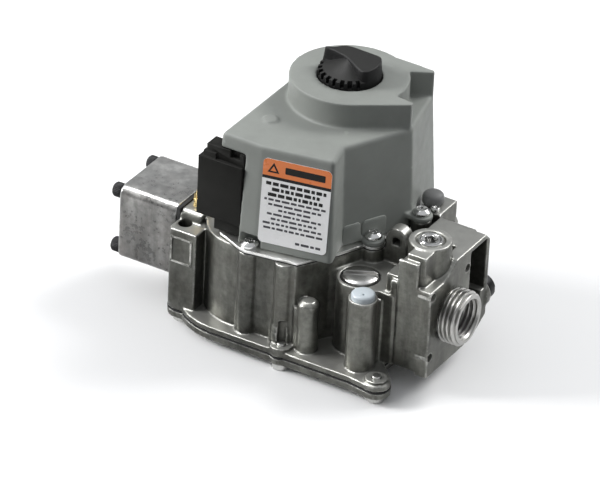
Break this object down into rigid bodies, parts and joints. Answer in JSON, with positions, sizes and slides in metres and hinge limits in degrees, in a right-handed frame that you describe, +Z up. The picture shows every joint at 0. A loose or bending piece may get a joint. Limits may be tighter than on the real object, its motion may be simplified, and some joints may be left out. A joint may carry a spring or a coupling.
{
  "type": "gas valve",
  "caption": "Combination gas valve: die-cast body with bolt-on inlet flange, threaded outlet, covered solenoids, side regulator and a rotary on/off knob on top.",
  "frame": {"origin": "centre of the flat dish under the bottom cover, where the valve rests", "axes": "+X is the way the gas flows, from the inlet flange to the threaded outlet; -Y is the front with the label; +Z is up, along the knob's axis"},
  "size_m": [0.1446, 0.0856, 0.103],
  "materials": {
    "cast_body": "die-cast, satin and slightly mottled",
    "cast_bright": "die-cast, tumbled",
    "zinc_steel": "zinc-plated steel",
    "bright_steel": "nickel-plated",
    "black_oxide": "black oxide steel",
    "spring_steel": "drawn spring wire",
    "black_rubber": "nitrile rubber",
    "fibre_gasket": "gasket sheet",
    "cover_paint": "fine light grey powder coat",
    "knob_plastic": "moulded, fine texture",
    "terminal_plastic": "moulded black plastic",
    "switch_plastic": "moulded plastic",
    "cam_plastic": "moulded acetal",
    "button_red": "moulded plastic",
    "copper_winding": "wound copper wire",
    "brass_fitting": "machined brass",
    "vent_plastic": "translucent pale plastic",
    "screw_plastic": "moulded plastic",
    "membrane_rubber": "coated rubber membrane",
    "grey_plastic": "moulded dark grey plastic",
    "cap_alloy": "machined, bright",
    "label_film": "printed film"
  },
  "bodies": {
    "valve": {"valve_body": "cast_body", "bottom_cover": "cast_body", "base_screws": "zinc_steel", "main_diaphragm": "black_rubber", "main_valve_spring": "spring_steel", "deck_gasket": "fibre_gasket", "steel_plate": "zinc_steel", "inlet_block": "cast_bright", "inlet_gasket": "black_rubber", "inlet_screws": "black_oxide", "inlet_screen": "spring_steel", "safety_spring": "spring_steel", "safety_core_tube": "zinc_steel", "safety_coil": "copper_winding", "safety_yoke": "zinc_steel", "servo_spring": "spring_steel", "servo_core_tube": "zinc_steel", "servo_coil": "copper_winding", "servo_yoke": "zinc_steel", "shaft_o_ring": "black_rubber", "switch_body": "switch_plastic", "regulator_cap_seal": "black_rubber", "regulator_spring": "spring_steel", "regulator_diaphragm": "membrane_rubber", "vent_plug": "vent_plastic", "tap_plug": "bright_steel", "rear_plug": "black_oxide", "grey_cap": "grey_plastic", "cover": "cover_paint", "cover_screws": "bright_steel", "adjuster_lock_screw": "bright_steel", "terminal_block": "terminal_plastic", "terminal_blades": "brass_fitting", "pilot_fitting": "brass_fitting", "label": "label_film"},
    "selector": {"knob": "knob_plastic", "knob_shaft": "zinc_steel", "shutoff_disc": "brass_fitting", "shutoff_spring": "spring_steel", "switch_cam": "cam_plastic"},
    "switch_button": {"switch_plunger": "button_red"},
    "main_valve": {"diaphragm_plate": "zinc_steel", "valve_stem": "zinc_steel", "main_valve_disc": "black_rubber"},
    "safety_valve": {"safety_plunger": "bright_steel", "safety_seal": "black_rubber"},
    "servo_valve": {"servo_plunger": "bright_steel", "servo_seal": "black_rubber"},
    "regulator_lid": {"regulator_cap": "cap_alloy"},
    "regulator_seat": {"spring_seat": "zinc_steel"},
    "regulator_screw": {"adjusting_screw": "screw_plastic"}
  },
  "joints": [
    {"name": "knob_turn", "type": "hinge", "parent": "valve", "child": "selector", "pos_m": [-0.0038, 0.0183, 0.09], "axis": [0, 0, -1], "range_deg": [0, 90]},
    {"name": "switch_press", "type": "slide", "parent": "valve", "child": "switch_button", "axis": [1, 0, 0], "range_m": [0, 0.00105]},
    {"name": "main_valve_lift", "type": "slide", "parent": "valve", "child": "main_valve", "axis": [0, 0, 1], "range_m": [0, 0.003], "stiffness_N_per_m": 400, "springref_m": -0.004, "deforming": ["main_valve_spring", "main_diaphragm"]},
    {"name": "safety_valve_lift", "type": "slide", "parent": "valve", "child": "safety_valve", "axis": [0, 0, 1], "range_m": [0, 0.0018], "stiffness_N_per_m": 400, "springref_m": -0.004, "deforming": ["safety_spring"]},
    {"name": "servo_valve_lift", "type": "slide", "parent": "valve", "child": "servo_valve", "axis": [0, 0, 1], "range_m": [0, 0.0012], "stiffness_N_per_m": 200, "springref_m": -0.003, "deforming": ["servo_spring"]},
    {"name": "regulator_cap_lift", "type": "slide", "parent": "valve", "child": "regulator_lid", "axis": [0, 0, 1], "range_m": [0, 0.012]},
    {"name": "regulator_travel", "type": "slide", "parent": "valve", "child": "regulator_seat", "axis": [0, 0, -1], "range_m": [0, 0.003], "deforming": ["regulator_spring"]},
    {"name": "regulator_turn", "type": "hinge", "parent": "regulator_seat", "child": "regulator_screw", "pos_m": [0.0256, -0.0187, 0.032], "axis": [0, 0, -1], "range_deg": [0, 1440]}
  ],
  "couplings": [
    {"joint": "switch_press", "follows": "knob_turn", "m_per_rad": 0.00063662},
    {"joint": "regulator_turn", "follows": "regulator_travel", "rad_per_m": 8377.6}
  ]
}
